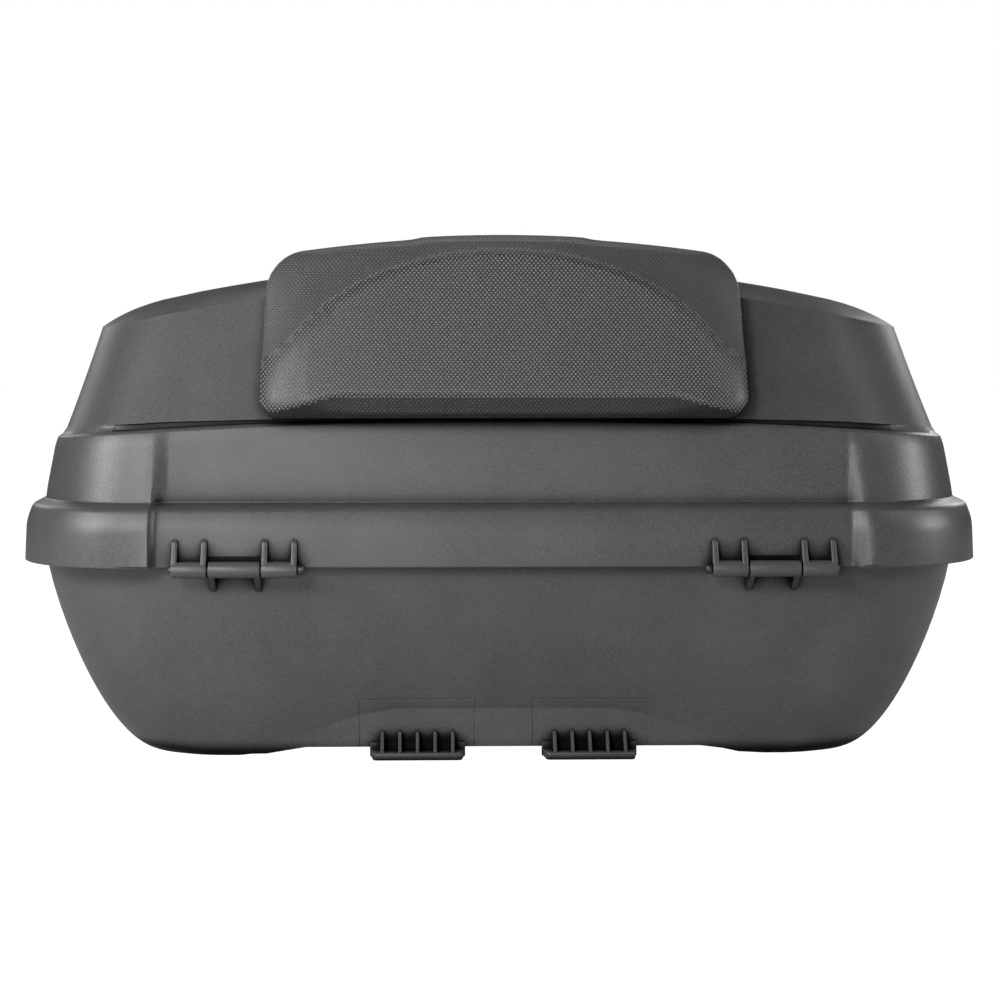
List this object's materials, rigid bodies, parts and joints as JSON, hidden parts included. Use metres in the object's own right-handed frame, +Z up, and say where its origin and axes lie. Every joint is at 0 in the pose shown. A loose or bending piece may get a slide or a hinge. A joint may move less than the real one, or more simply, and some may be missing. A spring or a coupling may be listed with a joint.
{
  "type": "motorcycle top case",
  "caption": "Hard motorcycle top case with a stepped domed lid on knuckle hinges, a rim seal, a cam lock, a sprung plate release and a padded passenger backrest.",
  "frame": {"origin": "middle of the box in X and Y, at the level of the feet", "axes": "+X across the case, along the hinge line; +Y from the hinge side with the backrest towards the lock side; +Z up"},
  "size_m": [0.585, 0.4522, 0.3118],
  "materials": {
    "moulding": "fine grained, matte",
    "pad_skin": "matte skin with small raised dots",
    "black_plastic": "matte",
    "seal_rubber": "matte",
    "steel": "zinc plated",
    "lock_metal": "satin",
    "lens_red": "gloss",
    "button_red": "satin"
  },
  "bodies": {
    "base": {"base_shell": "moulding", "rim_seal": "seal_rubber", "hinge_pin_left": "steel", "hinge_pin_right": "steel", "lock_keeper": "steel", "keeper_screws": "steel", "release_housing": "black_plastic", "housing_screws": "steel", "release_spring": "steel"},
    "lid": {"lid_shell": "moulding", "backrest_pad": "pad_skin", "backrest_plate": "black_plastic", "backrest_screws": "steel", "backrest_washers": "steel", "reflector_left": "lens_red", "reflector_right": "lens_red", "lock_body": "lock_metal", "lock_nut": "lock_metal"},
    "lock_rotor": {"lock_barrel": "lock_metal", "lock_cam": "steel", "cam_screw": "steel"},
    "catch": {"plate_catch": "steel", "release_button": "button_red"}
  },
  "joints": [
    {"name": "lid_hinge", "type": "hinge", "parent": "base", "child": "lid", "pos_m": [0, -0.2213, 0.1156], "axis": [1, 0, 0], "range_deg": [0, 95]},
    {"name": "lock_turn", "type": "hinge", "parent": "lid", "child": "lock_rotor", "pos_m": [0, 0.2226, 0.128], "axis": [0, -1, 0], "range_deg": [0, 90]},
    {"name": "plate_release", "type": "slide", "parent": "base", "child": "catch", "axis": [0, -1, 0], "range_m": [0, 0.008], "stiffness_N_per_m": 400, "deforming": ["release_spring"]}
  ]
}
